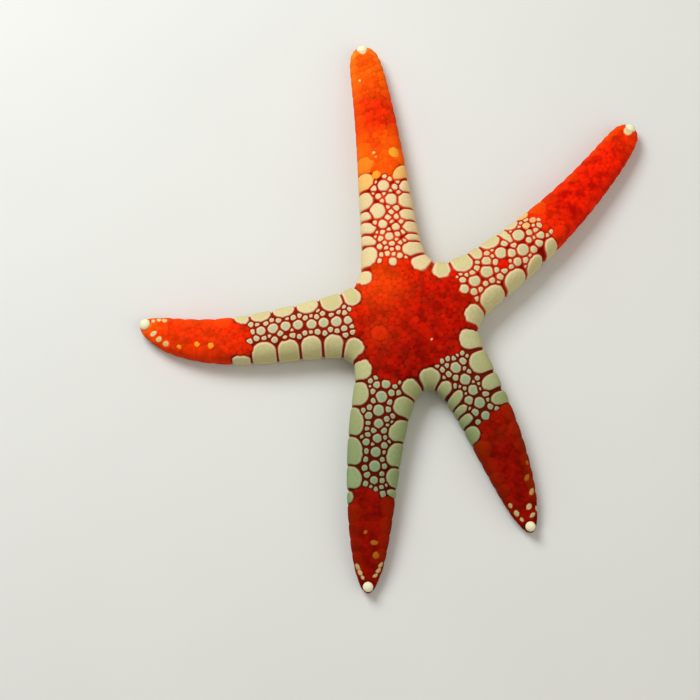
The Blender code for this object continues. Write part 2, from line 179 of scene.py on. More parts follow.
# Orange in each arm's red tip, at places along it
GLOW = {
    "a": ((30, 0.15), (36, 0.0), (50, 0.03), (56, 0.25)),
    "b": ((28, 1.0), (36, 0.7), (39, 0.15), (43, 0.2), (47, 0.8), (55, 1.1)),
    "c": ((29, 0.1), (34, 0.22), (44, 0.25), (47, 0.7), (49, 1.3)),
    "d": ((30, 0.1), (48, 0.05)),
    "e": ((23, 0.1), (26, 0.25), (28, 0.05), (43, 0.05)),
}
# How much more of it there is in the left and the right row
ROW_GLOW = {"a": (0.34, 0.03), "b": (0.32, 0.12), "c": (0.04, 0.2), "d": (0.3, 0.25), "e": (0.8, 0.35)}
WARMTH = {"a": 0.75, "b": 0.9, "c": 0.15, "d": 0.0, "e": 0.0}  # how red the seams between cream plates are
PAINTED_LIGHT_PLACE, PAINTED_LIGHT_WIDTH = (-6.0, 7.0), 5.0  # where painted light makes the disc brighter
DISC_PAINTED_LIGHT, SIEVE_FLUSH = 0.35, 0.22  # how orange that painted light makes it there, and how orange the skin is round the sieve plate
PAINTED_SHADE_DIRECTION = np.array((0.2, -1.0))  # the way in which painted shade darkens all colours
PAINTED_SHADE_RANGE = (-10.0, 26.0)  # where that painted shade starts and ends

# The solids' other driving sizes
FILLET = 2.0  # how widely the arms flow together
ROOT_HEIGHT, TIP_HEIGHT = 8.1, 3.9
DROOP = 1.6  # how late the height falls off towards the tip
ARCH = 2.4  # how square the cross section is
RIM_LOW, RIM_HIGH = 0.34, 0.50  # lower and upper edge of the flank, as shares of the height
HEEL = 0.36  # share of the half width in which the belly curves down to the sole
SOLE_REACH = 1.25  # how far along the arm the sole keeps on the floor
GROOVE_HALF, GROOVE_DEEP = 1.25, 1.4
MOUTH_RADIUS, MOUTH_DEEP = 3.3, 2.2
EYE_RADIUS, EYE_LEVEL = 1.05, 0.62 * TIP_HEIGHT
SIEVE_ANGLE, SIEVE_REACH, SIEVE_RADIUS = 205.0, 6.4, 1.35

SIEVE_SUNK = 0.25  # how deep the skin is sunk under the sieve plate
KNOBS = {"a": 1.06, "b": 1.06, "c": 1.02, "d": 0.88, "e": 0.88}  # radius of the knob that ends each arm
KNOB_GAP = 0.12
SEAM_LEVEL = 0.37  # height of the seam between upper and lower marginal plates, as a share
LOWER_SHARE = 0.42  # how much of the half width a lower marginal plate takes
DEEPEST_LOWER = 3.1  # and never more than this
ROUNDING = 1.5  # how roundly the marginal plates fold over the flank
RED_RISE = 0.035  # how far red plates stand out
SMALLEST = 0.24  # radius of the smallest round plate
SEAM = 0.30  # width of a seam
SIDE_SEAM = 0.12  # half width of the one between the upper and lower rows
PORE, PORE_DEEP = 0.42, 0.05  # roughly the width of a pore, and its depth
BULGE = 0.10  # how far the middle of a large plate swells
FOOT_PITCH = 1.15  # spacing of the tube feet and of the plates beside them
FEET_START, FEET_LEAVE = 0.8, 3.5  # where the feet begin past the mouth, and how much of the arm has none
CELL = 0.17  # spacing of the skin's mesh
NUDGE = 0.03  # step by which slopes are measured
FAR = 9.0  # a distance longer than any that matters
ROW_DEEP, ROW_MARGIN = 5.5, 3.0  # no marginal plate reaches further in, nor shapes seams further off
ROUND_MARGIN = 1.6  # nor a round one
SIEVE, FILLER, FILLER_RED, LARGE = -4, -3, -2, -1  # kinds of round plate; 0 to 1 is how golden a spot is

disc_low, disc_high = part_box("mouth_jaws")
CENTRE = [(disc_low[0] + disc_high[0]) / 2 / MM, (disc_low[1] + disc_high[1]) / 2 / MM]


def turned(x, y, angle):
    c, n = math.cos(angle), math.sin(angle)
    return x * c - y * n, x * n + y * c


def polar(reach, angle, *z):
    return (reach * math.cos(angle), reach * math.sin(angle), *z)


class Course:
    """The middle line of one arm, in plan, with its widths and heights."""

    def __init__(self, heading, shift, reach, bend, hook, half, taper, blunt, red):
        self.turn = math.radians(heading)
        self.shift, self.reach, self.bend, self.hook = shift, reach, bend, hook
        self.half, self.taper, self.blunt, self.red = half, taper, blunt, red
        self.steps = np.linspace(0.0, reach, 300)
        slope = np.hypot(1.0, self.slant(self.steps))
        self.lengths = np.concatenate([[0.0], np.cumsum((slope[1:] + slope[:-1]) / 2)]) * self.steps[1]
        self.length = self.lengths[-1]

    def aside(self, x):
        u = np.maximum(x, 0.0) / self.reach
        return self.shift + self.reach * (self.bend * u**2 + self.hook * u**3)

    def slant(self, x):
        u = np.maximum(x, 0.0) / self.reach
        return 2 * self.bend * u + 3 * self.hook * u**2

    def point(self, s, t):
        """Plan point at distance s along the course and t to its left."""
        x = np.interp(s, self.lengths, self.steps)
        run = np.hypot(1.0, self.slant(x))
        forward = x - t * self.slant(x) / run
        left = self.aside(x) + t / run
        return np.stack(turned(forward, left, self.turn), axis=-1)

    def locate(self, plan):
        """Distance along the course and to its left of plan points; behind the root s < 0."""
        forward, left = turned(plan[..., 0], plan[..., 1], -self.turn)
        x = forward.copy()
        for _ in range(8):
            slant = self.slant(x)
            x = np.minimum(x + ((forward - x) + (left - self.aside(x)) * slant) / (1 + slant**2), self.reach)
        ahead, beside, slant = forward - x, left - self.aside(x), self.slant(x)
        run = np.hypot(1.0, slant)
        past_end = np.where(x >= self.reach, (ahead + beside * slant) / run, 0)
        s = np.where(x > 0, np.interp(x, self.steps, self.lengths), x) + past_end
        return s, (beside - ahead * slant) / run

    def closing(self, s):
        return np.sqrt(np.clip(1 - np.clip(s / self.length, 0, 1) ** self.blunt, 0, 1))

    def half_width(self, s):
        return self.half * (1 - self.taper * np.clip(s / self.length, 0, 1)) * self.closing(s)

    def narrowing(self, s):
        """How wide and deep the tube-foot groove still is at s; half at the tip."""
        return 1 - 0.5 * s / self.length

    def levels(self, s):
        """Heights of the sole, of the flank's lower and upper edge, and of the crest."""
        u, close = np.clip(s / self.length, 0, 1), self.closing(s)
        tall = TIP_HEIGHT + (ROOT_HEIGHT - TIP_HEIGHT) * (1 - u**DROOP)
        low = RIM_LOW * tall
        high = low + (RIM_HIGH - RIM_LOW) * tall * close
        sole = low * (1 - np.minimum(1.0, SOLE_REACH * close))
        return sole, low, high, high + (1 - RIM_HIGH) * tall * close


COURSES = {name: Course(*sizes) for name, sizes in ARMS.items()}
EYES = {name: np.array([*c.point(c.length - EYE_RADIUS, 0.0), EYE_LEVEL]) for name, c in COURSES.items()}
LENGTH = {name: c.length for name, c in COURSES.items()}
CHANGE = {name: c.red * c.length for name, c in COURSES.items()}  # where the tip's red skin begins


def crown(x):
    return (1 - (1 - np.clip(x, 0, 1)) ** ARCH) ** (1 / ARCH)


def crown_inverse(y):
    return 1 - (1 - np.clip(y, 0, 1) ** ARCH) ** (1 / ARCH)


def body(plan):
    """Everything the solids know at plan points: distance inside the outline, distance from rim
    to crest, the four levels, depth of the grooves, and the arm in charge with its s and t."""
    inside, facts, places, dips = [], [], [], []
    reach = np.hypot(plan[..., 0], plan[..., 1])
    for course in COURSES.values():
        s, t = course.locate(plan)
        half = course.half_width(s)
        past_end = np.maximum(s - course.length, 0) + np.minimum(s, 0)
        inside.append(half - np.hypot(past_end, t))
        facts.append((np.maximum(half, 0.01), *course.levels(s)))
        places.append((s, t))
        fade = np.clip(course.narrowing(s), 0, 1) * course.closing(s)
        shape = np.clip(1 - np.abs(t) / np.maximum(GROOVE_HALF * fade, 1e-3), 0, 1)
        dips.append(np.where(s > 1, GROOVE_DEEP * fade * (1 - (1 - shape) ** 2), 0))
    inside, facts, places = np.array(inside), np.array(facts), np.array(places)
    most = inside.max(axis=0)
    weight = np.exp((inside - most) / FILLET)
    total = weight.sum(axis=0)
    wide, sole, low, high, crest = (facts * weight[:, None]).sum(axis=0) / total
    arm = np.where(places[:, 0] < 0, -99, inside).argmax(axis=0)
    s, t = np.take_along_axis(places, arm[None, None], axis=0)[0]
    bowl = MOUTH_DEEP * np.sqrt(np.clip(1 - (reach / MOUTH_RADIUS) ** 2, 0, 1))
    return dict(inside=most + FILLET * np.log(total), wide=wide, sole=sole, low=low, high=high, crest=crest,
                dip=np.maximum(np.max(dips, axis=0), bowl), arm=arm, s=s, t=t, reach=reach)


def back(at):
    return at["high"] + (at["crest"] - at["high"]) * crown(at["inside"] / at["wide"])


def belly(at):
    return at["low"] - (at["low"] - at["sole"]) * crown(at["inside"] / (HEEL * at["wide"])) + at["dip"]


def shell(field, origin, step):
    """Surface-net quads round the zero level of a field that is positive inside."""
    within = field > 0
    count = sum(within[i:i - 1 or None, j:j - 1 or None, k:k - 1 or None].astype(np.uint8)
                for i, j, k in itertools.product((0, 1), repeat=3))
    active = (count > 0) & (count < 8)
    cells = np.argwhere(active).astype(np.int32)
    number = np.full(active.shape, -1, np.int32)
    number[active] = np.arange(len(cells), dtype=np.int32)
    total = np.zeros((len(cells), 3), np.float32)
    hits = np.zeros(len(cells), np.float32)
    beside = ([1, 2], [0, 2], [0, 1])
    for axis, a, b in itertools.product(range(3), (0, 1), (0, 1)):
        start = cells.copy()
        start[:, beside[axis]] += np.int32((a, b))
        end = start.copy()
        end[:, axis] += 1
        one, two = field[tuple(start.T)], field[tuple(end.T)]
        crossed = (one > 0) != (two > 0)
        share = one[crossed] / (one[crossed] - two[crossed])
        spot = start[crossed].astype(np.float32)
        spot[:, axis] += share
        total[crossed] += spot
        hits[crossed] += 1
    points = total / hits[:, None] * step + origin
    quads = []
    for axis in range(3):
        low, high = [slice(1, -1)] * 3, [slice(1, -1)] * 3
        low[axis], high[axis] = slice(0, -1), slice(1, None)
        one, two = within[tuple(low)], within[tuple(high)]
        for flip, mask in ((axis == 1, one & ~two), (axis != 1, two & ~one)):
            spots = np.argwhere(mask).astype(np.int32)
            spots[:, beside[axis]] += 1
            ring = []
            for corner in ((0, 0), (1, 0), (1, 1), (0, 1)):
                cell = spots.copy()
                cell[:, beside[axis]] -= np.int32(corner)
                ring.append(number[tuple(cell.T)])
            ring = np.stack(ring, axis=1)
            quads.append(ring[:, ::-1] if flip else ring)
    return points, np.concatenate(quads)


def bare_skin():
    """Points and quads of the smooth skin, with every point put exactly on its surface."""
    low = np.array(CAD_BOX[0]) / MM - (*CENTRE, 0) - 1.0
    high = np.array(CAD_BOX[1]) / MM - (*CENTRE, 0) + 1.0
    axes = [np.arange(a, b, CELL) for a, b in zip(low, high)]
    plan = np.stack(np.meshgrid(axes[0], axes[1], indexing="ij"), axis=-1)
    at = body(plan)
    top, bottom = back(at).astype(np.float32), belly(at).astype(np.float32)
    z = axes[2].astype(np.float32)
    field = np.minimum(top[..., None] - z, z - bottom[..., None])
    field = np.minimum(field, at["inside"].astype(np.float32)[..., None])
    for name, eye in EYES.items():
        window = tuple(slice(*np.searchsorted(a, (e - 1.6, e + 1.6))) for a, e in zip(axes, eye))
        grid = np.stack(np.meshgrid(*(a[w] for a, w in zip(axes, window)), indexing="ij"), axis=-1)
        away = np.linalg.norm(grid - eye, axis=-1) - KNOBS[name] - KNOB_GAP
        field[window] = np.minimum(field[window], away)
    points, quads = shell(field, np.array([a[0] for a in axes]), CELL)
    free = np.ones(len(points), bool)
    for name, eye in EYES.items():
        free &= np.linalg.norm(points - eye, axis=1) > KNOBS[name] + KNOB_GAP + 0.8 * CELL
    for _ in range(3):
        at = body(points[:, :2])
        upper = points[:, 2] > (at["low"] + at["high"]) / 2
        flat = at["inside"] / at["wide"] > 0.16 * np.where(upper, 1, HEEL)
        error = gauge(points, upper, flat, at)
        slope = [(gauge(points + nudge, upper, flat) - error) / NUDGE for nudge in NUDGE * np.eye(3)]
        slope = np.stack(slope, axis=1)
        step = error / np.maximum((slope**2).sum(axis=1), 0.3)
        points -= (np.clip(step, -CELL, CELL) * free)[:, None] * slope
    return points, quads


def gauge(points, upper, flat, at=None):
    """How far points miss the skin: in height where it is flat, and in plan on the flanks."""
    at = at or body(points[:, :2])
    z = points[:, 2]
    rise = np.where(upper, (z - at["high"]) / np.maximum(at["crest"] - at["high"], 0.05),
                    (at["low"] - z) / np.maximum(at["low"] - at["sole"], 0.05))
    wanted = crown_inverse(np.clip(rise, 0, 0.97)) * at["wide"] * np.where(upper, 1, HEEL)
    return np.where(flat, z - np.where(upper, back(at), belly(at)), wanted - at["inside"])


# ---------------- where each plate lies

def outline_from(place, near, far):
    """How far the outline lies, between near and far, along lines whose plan points place gives."""
    for _ in range(30):
        middle = (near + far) / 2
        hit = body(place(middle))["inside"] > 0
        near, far = np.where(hit, middle, near), np.where(hit, far, middle)
    return near


def outline_between(course, following):
    """The outline from one arm's tip round the axil to the next one's, and its length from the axil."""
    # Across each arm where it has left the disc, and outwards from the centre between the two
    sides = []
    for arm, side in ((course, 1), (following, -1)):
        s = np.arange(13.5, arm.length, 0.2)
        t = outline_from(lambda t: arm.point(s, side * t), np.zeros(len(s)), np.full(len(s), 1.6 * arm.half))
        sides.append(arm.point(s, side * t))
    left, right = sides[0][::-1], sides[1]
    start, end = (math.atan2(p[1], p[0]) for p in (left[-1], right[0]))
    angles = start + ((end - start) % (2 * math.pi)) * np.linspace(0, 1, 40)[1:-1]
    aim = np.stack([np.cos(angles), np.sin(angles)], axis=1)
    near = outline_from(lambda far: aim * far[:, None], np.full(len(aim), 4.0), np.full(len(aim), 30.0))
    line = np.concatenate([left, aim * near[:, None], right])
    run = np.concatenate([[0.0], np.cumsum(np.hypot(*np.diff(line, axis=0).T))])
    axil = len(left) + np.argmin(near)
    return line, run - run[axil]


def whole_row(row, until, total):
    """All marginal plates of one side, from the axil outwards, each with its kind."""
    plates = [(*plate, *(0, "cream")[len(plate) - 3:]) for plate in row]  # those two go unsaid
    change = place = plates[-1][1] + 0.25
    end = min(until, total - EYE_RADIUS)
    while place < end:
        left = (total - place) / (total - change)
        size = (TIP_PITCH + (RED_PITCH - TIP_PITCH) * left) * (1 + 0.08 * rng.uniform(-1, 1))
        plates.append((place + RED_GAP, place + size - RED_GAP, RED_REACH * (0.45 + 0.55 * left), 0, "red"))
        place += size
    return plates


def box_distance(along, across, half_along, half_across, corner_along, corner_across):
    """Roughly the signed distance to a rectangle with elliptical corners, negative inside."""
    x, y = np.abs(along) - half_along + corner_along, np.abs(across) - half_across + corner_across
    over_x, over_y = np.maximum(x, 0), np.maximum(y, 0)
    ratio = np.maximum(np.hypot(over_x / corner_along, over_y / corner_across), 1e-6)
    round_part = (ratio - 1) * np.hypot(over_x, over_y) / ratio
    return np.where((x > 0) & (y > 0), round_part, np.maximum(x - corner_along, y - corner_across))


class Tiles:
    """Distances to the three nearest plates at every vertex, and facts of the nearest one: how cream,
    orange and raised it is, a random tint, how far it lies in the zone of dark seams, whether its seams
    stay calm, how far it spreads, its size, and whether it is small."""

    def __init__(self, count):
        self.first, self.second, self.third = np.full((3, count), FAR)
        self.cream, self.orange, self.rise, self.tint, self.zone, self.calm = np.zeros((6, count))
        self.spread, self.small = np.zeros((2, count))
        self.size = np.full(count, 0.5)

    def keep(self, where, mine, facts):
        for name, value in facts.items():
            held = getattr(self, name)
            held[where] = np.where(mine, value, held[where])

    def add(self, where, distance, **facts):
        """One more plate (or a whole row of equal ones) at the vertices where."""
        first, second = self.first[where], self.second[where]
        nearer = distance < first
        self.third[where] = np.where(distance < second, second, np.minimum(self.third[where], distance))
        self.second[where] = np.where(nearer, first, np.minimum(second, distance))
        self.first[where] = np.where(nearer, distance, first)
        self.keep(where, nearer, facts)

    def cut(self, where, distance, **facts):
        """One plate that stands on top of those already there."""
        inside = distance < 0
        self.first[where] = np.where(inside, distance, self.first[where])
        apart = self.first[where] + 2 * np.abs(distance) + 0.2
        self.second[where] = np.where(inside, apart, np.minimum(self.second[where], apart))
        self.third[where] = np.maximum(self.third[where], self.first[where] + PORE)
        self.keep(where, inside, facts)


def follow_outlines(points, at):
    """For every vertex near the rim: distance from the outline, and place along it from the axil."""
    deep, along = np.full(len(points), FAR), np.zeros(len(points))
    gap_between = np.where(at["t"] > 0, at["arm"], (at["arm"] - 1) % 5)
    courses = list(COURSES.values())
    totals = []
    for number in range(5):
        line, run = outline_between(courses[number], courses[(number + 1) % 5])
        here = np.flatnonzero((gap_between == number) & (at["inside"] < 0.95 * at["wide"]))
        for part in np.array_split(here, max(1, len(here) // 4000)):
            plan = points[part, :2]
            nearest = ((plan[:, None] - line[None]) ** 2).sum(axis=2).argmin(axis=1)
            nearest = np.clip(nearest, 1, len(line) - 2)
            tangent = line[nearest + 1] - line[nearest - 1]
            tangent /= np.linalg.norm(tangent, axis=1, keepdims=True)
            apart = plan - line[nearest]
            along[part] = run[nearest] + (apart * tangent).sum(axis=1)
            deep[part] = np.abs(apart[:, 0] * tangent[:, 1] - apart[:, 1] * tangent[:, 0])
        totals.append((abs(run[0]), run[-1]))
    return deep, along, gap_between, totals


def row_width(facts, inward, top):
    """How far a marginal plate reaches from the seam between the rows, over the flank and inwards."""
    wide, sole, high, crest = facts
    inward = np.minimum(inward, 0.9 * wide)
    seam_height = SEAM_LEVEL * high / RIM_HIGH
    rise = high + (crest - high) * crown(inward / wide) - seam_height if top else seam_height - sole
    return (np.abs(rise) ** ROUNDING + inward**ROUNDING) ** (1 / ROUNDING)


def marginal_distance(ahead, deep, reach, facts, half, inward, lean, is_upper):
    """Distance to one marginal plate; ahead counts from its middle along the outline."""
    own = inward if is_upper else np.minimum(LOWER_SHARE * facts[0], DEEPEST_LOWER)
    width = row_width(facts, own, is_upper) - SIDE_SEAM
    across = reach - SIDE_SEAM - width / 2
    drift = lean * np.clip(deep / inward, 0, 1.2) if is_upper else 0
    inner = np.where(across > 0, 1.0, 0.12)
    return box_distance(ahead - drift, across, half, width / 2, 0.93 * half * inner,
                        np.minimum(1.7, 0.42 * width) * inner)


def lay_marginals(tiles, points, at):
    """Upper and lower marginal plates, in rows that run round each axil. Gives which side is upper, and the
    distance to the narrow gaps between the plates, where no others lie."""
    deep, along, gap_between, totals = follow_outlines(points, at)
    facts = np.array([at[name] for name in ("wide", "sole", "high", "crest")])
    level = points[:, 2] - SEAM_LEVEL * np.minimum(at["high"] / RIM_HIGH, points[:, 2].max())
    reach = (np.abs(level) ** ROUNDING + deep**ROUNDING) ** (1 / ROUNDING)
    upper = level > 0
    gaps = np.full(len(points), FAR)
    for number, is_right in itertools.product(range(5), (False, True)):
        here = np.flatnonzero((gap_between == number) & (deep < ROW_DEEP))
        arm = NAMES[(number + is_right) % 5]
        ahead = along if is_right else -along
        row = (RIGHT_ROWS if is_right else LEFT_ROWS)[arm]
        row = whole_row(row, ROWS_END[arm][is_right], totals[number][is_right])
        for (_, end, one, lean, kind), (start, _, two, _, _) in zip(row, row[1:]):
            middle = (start + end) / 2
            spots = here[(np.abs(ahead[here] - middle) < ROW_MARGIN) & (kind != "red")]
            drift = lean * np.clip(deep[spots] / one, 0, 1.2)
            across = np.abs(ahead[spots] - middle - drift) - (start - end) / 2
            gaps[spots] = np.minimum(gaps[spots], np.maximum(across, deep[spots] - 0.8 * min(one, two)))
        for start, end, inward, lean, kind in row:
            middle, half = (start + end) / 2, (end - start) / 2
            spots = here[np.abs(ahead[here] - middle) < half + ROW_MARGIN]
            tint = rng.uniform()
            for is_upper in (True, False):
                where = spots[upper[spots] == is_upper]
                distance = marginal_distance(ahead[where] - middle, deep[where], reach[where],
                                             facts[:, where], half, inward, lean, is_upper)
                cream, orange, rise = LOOKS.get(kind, (0.0, None, RED_RISE))
                if kind == "red":
                    outer = np.clip(1.3 - deep[where] / inward, 0.2, 1)
                    orange = glow(arm, at["s"][where]) + ROW_GLOW[arm][is_right] * (0.3 + tint) * outer
                if not is_upper and kind != "cream":
                    cream = np.clip(-level[where] - 0.5, 0, 0.9)
                tiles.add(where, distance, cream=cream, orange=orange, tint=tint, rise=rise,
                          zone=(1 - WARMTH[arm]) * (kind == "cream"), calm=float(kind in ("red", "gold")),
                          size=min(half, 1.2), spread=0.06, small=0)
    return upper, gaps


def glow(name, s):
    """How orange an arm's red tip is at s."""
    return np.interp(s, *zip(*GLOW[name]))


def lay_groove_plates(tiles, points, at):
    """Small square plates in a row along each bank of the tube-foot grooves."""
    below = points[:, 2] < at["low"]
    cream, orange, zone, rise = GROOVE_LOOK
    wide = 1.0
    for number, course in enumerate(COURSES.values()):
        bank = GROOVE_HALF * np.clip(course.narrowing(at["s"]), 0.1, 1)
        close = below & (at["arm"] == number) & (np.abs(at["t"]) < bank + 2.0)
        where = np.flatnonzero(close & (at["s"] > MOUTH_RADIUS))
        phase = (at["s"][where] / FOOT_PITCH) % 1 - 0.5
        across = np.abs(at["t"][where]) - bank[where] - wide / 2
        for shift in (-1, 0, 1):
            distance = box_distance((phase + shift) * FOOT_PITCH, across, FOOT_PITCH / 2, wide / 2, 0.3, 0.3)
            tiles.add(where, distance, cream=cream, orange=orange, tint=0.5, zone=zone, calm=0, rise=rise,
                      size=0.4, small=0)


def per_arm(table, at):
    """Each arm's entry of a table, at every point."""
    return np.array([table[name] for name in NAMES])[at["arm"]]


def round_sizes(points, at, upper):
    """How large a round plate tends to be at every vertex, and how wide the gaps between them are."""
    s, start, change, length = at["s"], per_arm(START, at), per_arm(CHANGE, at), per_arm(LENGTH, at)
    share = np.clip((s - change) / (length - change), 0, 1)
    x, y = points[:, 0], points[:, 1]
    wave = np.sin(x * 1.9 + 1.3) * np.sin(y * 2.3 + 0.4) + 0.5 * np.sin(x * 4.1)
    radius = FIELD_START + (per_arm(FIELD, at) - FIELD_START) * np.clip((s - start) / FIELD_RUN, 0, 1)
    radius = np.where(s < start, DISC_ROUND, radius)
    radius = np.where(s > change, TIP_ROUND - TIP_SHRINK * share, radius)
    belly_radius = BELLY_ROUND - BELLY_SHRINK * np.clip(s / length, 0, 1)
    radius = np.where(upper, radius * (1 + UNEVEN * wave), belly_radius)
    return radius, np.where(upper & (s > start) & (s < change), CREAM_GAP, OTHER_GAP)


def place_round(points, at, free_of_rows, upper):
    """Round plates all over the back and the belly: first the named ones, then smaller ones packed in
    between, largest first, each against its neighbours. Gives x, y, z, radius, stretch, angle, kind."""
    radius, between = round_sizes(points, at, upper)
    # Centres may lie wherever it is clear of the rows, the grooves, the mouth and the outline
    outside_groove = upper | (np.abs(at["t"]) > GROOVE_HALF * 1.02) & (at["reach"] > MOUTH_RADIUS)
    pool = np.flatnonzero((free_of_rows > 0.12) & outside_groove & (at["inside"] > 0.3))
    spots, goal, between = (values[pool].astype(np.float32) for values in (points, radius, between))
    free = (free_of_rows[pool] - between / 2).astype(np.float32)
    plates = []

    def settle(centre, size, kind=FILLER, stretch=1.0, angle=0.0):
        nonlocal free
        plates.append((*centre, size, stretch, angle, kind))
        gap = np.sqrt(((spots - np.float32(centre)) ** 2).sum(axis=1)) - size * (1 + stretch) / 2 - between
        free = np.minimum(free, gap)

    settle(SIEVE_PLACE, SIEVE_RADIUS, SIEVE)
    settle(on_top(FRECKLE), FRECKLE_RADIUS, FRECKLE_GOLD)
    settle(on_back(*BARE), BARE_RADIUS, FILLER_RED)
    for name, s, t, size, stretch, slant, gold in SPOTS:
        ahead = COURSES[name].point(s + 0.1, t) - COURSES[name].point(s, t)
        settle(on_back(name, s, t), size, gold, stretch, math.atan2(ahead[1], ahead[0]) + math.radians(slant))
    for name, group in BACK_PLATES.items():
        for s, t, size in group:
            spot = on_back(name, s, t)
            nearest = np.argmin(((spots - np.float32(spot)) ** 2).sum(axis=1))
            settle(spot, float(np.clip(free[nearest] + 0.25, 0.7 * size, size)), LARGE)
    for scale in (1.0, 0.85, 0.7, 0.56, 0.43):
        wanted = np.maximum(scale * goal, SMALLEST)
        while len(fits := np.flatnonzero(free > wanted)):
            # A front that moves outwards from what is already laid, a little untidily
            excess = (free - wanted)[fits]
            pick = fits[np.argmin(excess + 0.10 * rng.random(len(fits)))]
            settle(spots[pick], float(max(scale * goal[pick], SMALLEST)))
    return np.array(plates)


def on_top(plan):
    return (*plan, float(back(body(np.array([plan])))[0]))


def on_back(name, s, t):
    return on_top(COURSES[name].point(s, t))


SIEVE_PLACE = on_top(polar(SIEVE_REACH, math.radians(SIEVE_ANGLE)))


def in_painted_light(plan):
    """How far a place lies in the patch of painted light on the disc."""
    return np.exp(-((plan - PAINTED_LIGHT_PLACE) ** 2).sum(axis=1) / (2 * PAINTED_LIGHT_WIDTH**2))


def lay_round(tiles, points, plates):
    """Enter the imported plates, each with the colour of its place, and the spots last."""
    plan = body(plates[:, :2])
    change, start = per_arm(CHANGE, plan), per_arm(START, plan)
    above = plates[:, 2] > plan["low"]
    # Painted light: plates in the bright patch on the disc turn more orange; round the sieve plate the orange
    # is the skin's own
    painted_light_and_sieve_orange = DISC_PAINTED_LIGHT * in_painted_light(plates[:, :2]) ** 2
    painted_light_and_sieve_orange += SIEVE_FLUSH * np.exp(-((plates[:, :2] - SIEVE_PLACE[:2]) ** 2).sum(axis=1) / 5)
    order = np.argsort(points[:, 0])
    ranked = points[order, 0]
    for number in np.argsort(plates[:, 6] >= 0, kind="stable"):
        x, y, z, size, stretch, angle, kind = plates[number]
        span = size * stretch + ROUND_MARGIN
        near = order[np.searchsorted(ranked, x - span):np.searchsorted(ranked, x + span)]
        near = near[(np.abs(points[near, 1] - y) < span) & (np.abs(points[near, 2] - z) < span)]
        apart = points[near] - (x, y, z)
        longways = apart[:, 0] * math.cos(angle) + apart[:, 1] * math.sin(angle)
        distance = np.sqrt((apart**2).sum(axis=1) - longways**2 * (1 - 1 / stretch**2)) - size
        s = plan["s"][number] + rng.uniform(-0.5, 0.5)
        name = NAMES[plan["arm"][number]]
        is_spot = 0 <= kind <= 1
        cream, orange, zone, rise = 0.0, 0.06 * rng.uniform() + painted_light_and_sieve_orange[number], 0.0, RED_RISE
        if not above[number]:
            cream, orange, zone, rise = BELLY_LOOK
        elif kind == SIEVE:
            rise = -SIEVE_SUNK
        elif is_spot:
            cream, orange, rise = 0.95 * (1 - kind) ** 0.5, 1.7, 0.12
        elif kind == LARGE or kind == FILLER and start[number] < s < change[number]:
            cream, zone, rise = 1.0, 1 - WARMTH[name], 0.16 + 0.16 * min(size, 1)
        elif s >= change[number]:
            orange = glow(name, s) * rng.uniform(0.6, 1.2)
        enter = tiles.cut if is_spot else tiles.add
        enter(near, distance, cream=cream, orange=orange, tint=rng.uniform(), zone=zone, rise=rise,
              calm=float(rise == RED_RISE or is_spot), size=size, small=float(size < 1.2),
              spread={LARGE: 0.08, FILLER: 0.15}.get(kind, 0.10))


def dress(points, quads, at, tiles, upper):
    """Sink the seams and pores and swell the plates along the normals. Gives also edge and pore, which say
    how far inside its plate a vertex lies, and how near the middle of a pore between three plates."""
    edge = np.minimum((tiles.second - tiles.first) / 2 - SEAM / 2, tiles.spread - tiles.first)
    mesh = mesh_from("bare", points, quads)
    normals = np.empty(len(points) * 3, np.float32)
    mesh.vertex_normals.foreach_get("vector", normals)
    normals = normals.reshape(-1, 3)
    bpy.data.meshes.remove(mesh)
    shoulder = np.clip(0.7 * tiles.size, 0.16, 0.45)
    ramp = np.clip((edge + 0.06) / shoulder, 0, 1)
    lift = np.abs(tiles.rise) * (np.sqrt(np.clip(1 - (1 - ramp) ** 2, 0, 1)) - 1)
    lift = np.where(tiles.rise < 0, tiles.rise, lift)
    swell = np.clip(edge / 1.2, 0, 1)
    lift += BULGE * (1 - (1 - swell) ** 2) * (tiles.size > 0.6)
    pore = np.clip(1 - (tiles.third - tiles.first) / PORE, 0, 1) * upper
    lift -= PORE_DEEP * pore
    in_groove = (at["dip"] > 0.02) & ~upper
    lift = np.where(in_groove, 0, lift)
    edge = np.where(in_groove, -0.3, edge)
    dressed = points + normals * lift[:, None]
    dressed[:, 2] = np.maximum(dressed[:, 2], 0.0)
    return dressed, edge, pore


def mesh_from(name, points, quads):
    mesh = bpy.data.meshes.new(name)
    mesh.vertices.add(len(points))
    mesh.vertices.foreach_set("co", np.asarray(points, np.float32).ravel())
    mesh.loops.add(quads.size)
    mesh.loops.foreach_set("vertex_index", quads.astype(np.int32).ravel())
    mesh.polygons.add(len(quads))
    mesh.polygons.foreach_set("loop_start", np.arange(0, quads.size, 4, dtype=np.int32))
    mesh.update(calc_edges=True)
    mesh.polygons.foreach_set("use_smooth", np.ones(len(quads), bool))
    return mesh


def to_metres(points):
    return (np.asarray(points) + (*CENTRE, 0.0)) * MM


def add_object(name, data, material=None):
    obj = bpy.data.objects.new(name, data)
    bpy.context.scene.collection.objects.link(obj)
    if material:
        data.materials.append(material)
    return obj


# ---------------- materials

